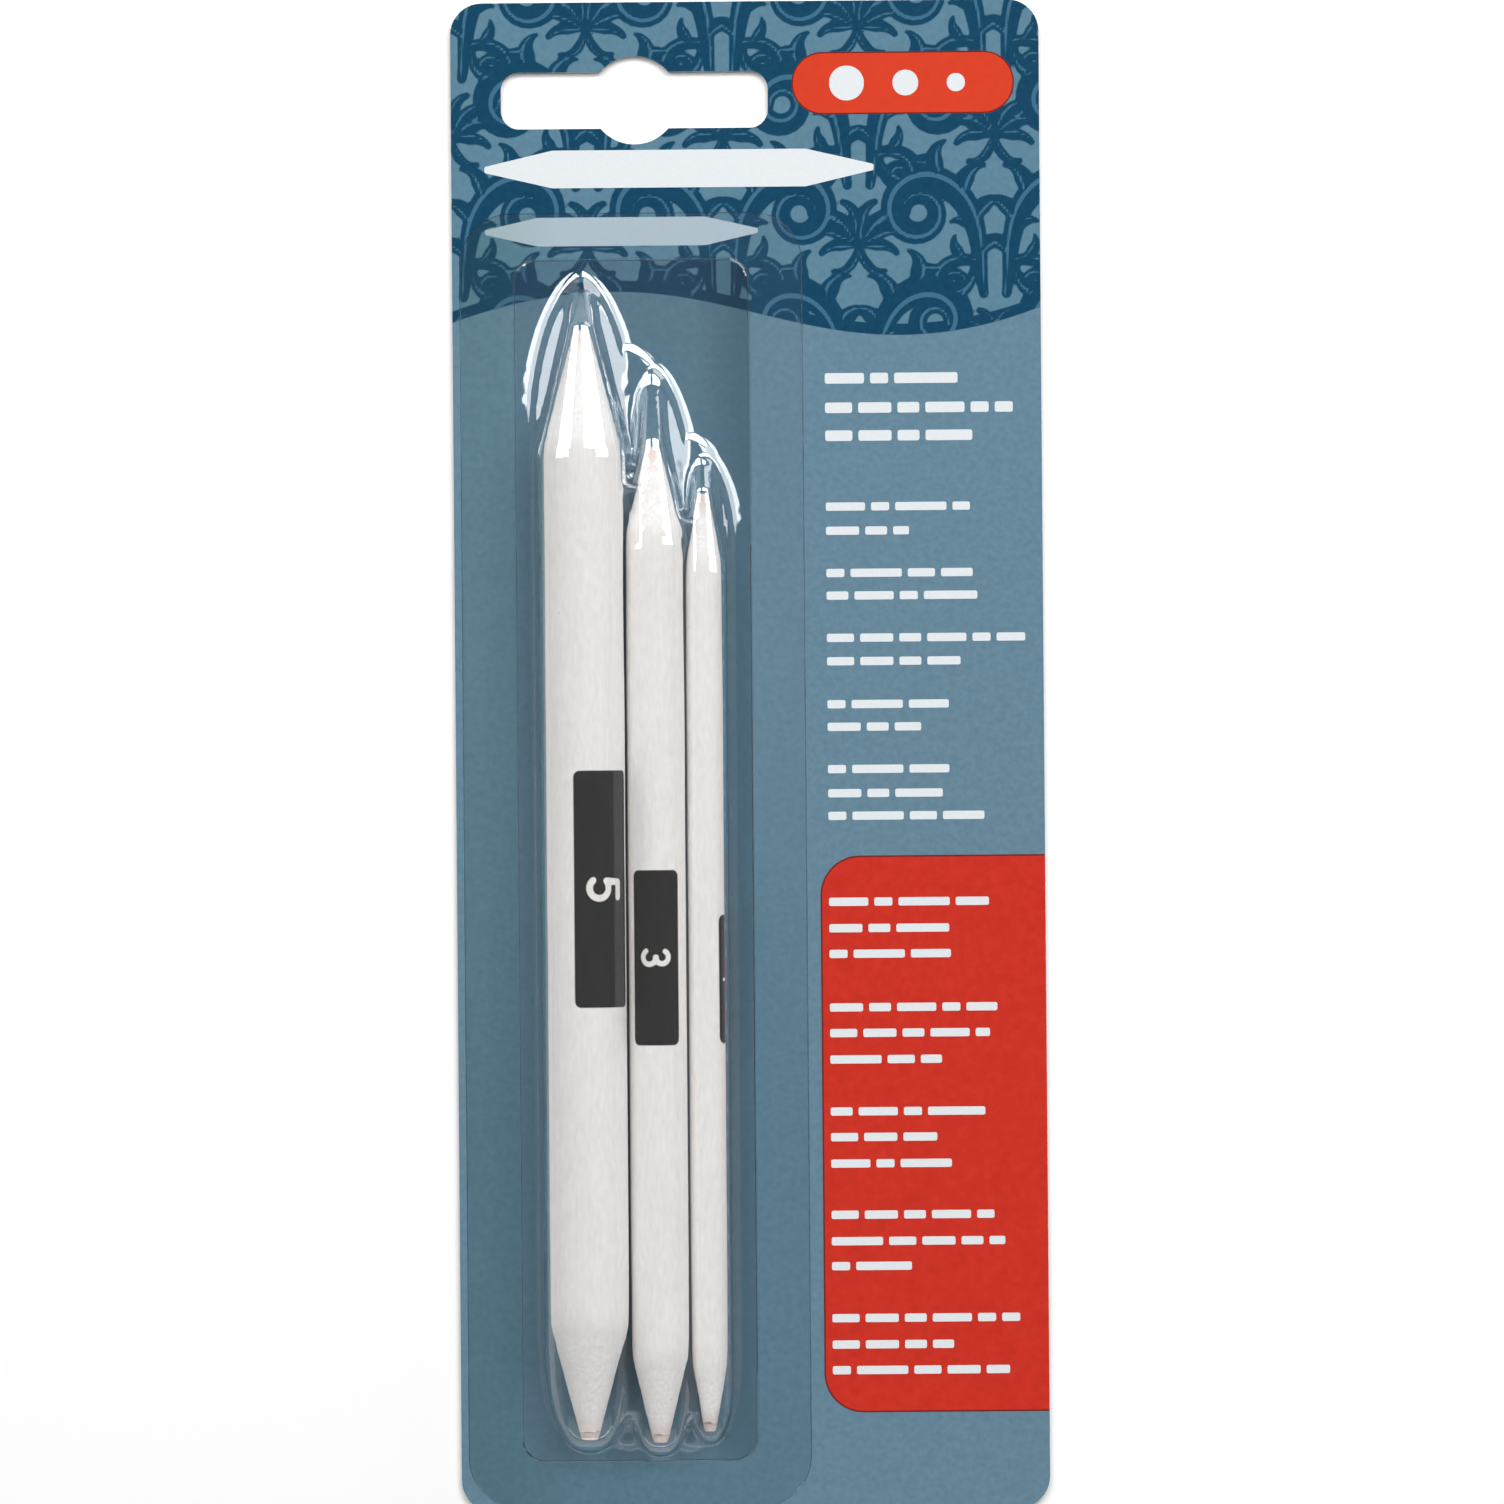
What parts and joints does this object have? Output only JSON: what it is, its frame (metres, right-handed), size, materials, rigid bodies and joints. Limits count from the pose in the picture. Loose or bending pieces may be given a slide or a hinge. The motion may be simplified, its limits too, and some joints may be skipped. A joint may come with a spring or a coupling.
{
  "type": "blending stump set",
  "caption": "Double-ended paper blending stumps of graded thickness, wound from soft sheet and sanded to blunt points, in a clear lobed blister on a hanging card.",
  "frame": {"origin": "middle of the card's back face", "axes": "+X to the right of the card's front, +Y towards the hang slot, +Z out of the card's front"},
  "size_m": [0.078, 0.2, 0.0121],
  "materials": {
    "printed_board": "coated board, printed steel blue on the front, bare on the back",
    "clear_film": "clear thermoformed film, glossy",
    "core_paper": "tight roll, sanded ends, warm cream",
    "soft_paper": "soft matte off-white paper, sanded on the points"
  },
  "bodies": {
    "pack": {"backing_card": "printed_board", "blister": "clear_film"},
    "large_stump": {"large_stump_core": "core_paper", "large_stump_sheet": "soft_paper"},
    "medium_stump": {"medium_stump_core": "core_paper", "medium_stump_sheet": "soft_paper"},
    "small_stump": {"small_stump_core": "core_paper", "small_stump_sheet": "soft_paper"}
  },
  "joints": [
    {"name": "large_stump_roll", "type": "hinge", "parent": "pack", "child": "large_stump", "pos_m": [-0.02185, -0.017, 0.0061], "axis": [0, 1, 0], "continuous": true},
    {"name": "medium_stump_roll", "type": "hinge", "parent": "pack", "child": "medium_stump", "pos_m": [-0.01255, -0.025, 0.00465], "axis": [0, 1, 0], "continuous": true},
    {"name": "small_stump_roll", "type": "hinge", "parent": "pack", "child": "small_stump", "pos_m": [-0.006, -0.0274, 0.00335], "axis": [0, 1, 0], "continuous": true}
  ]
}
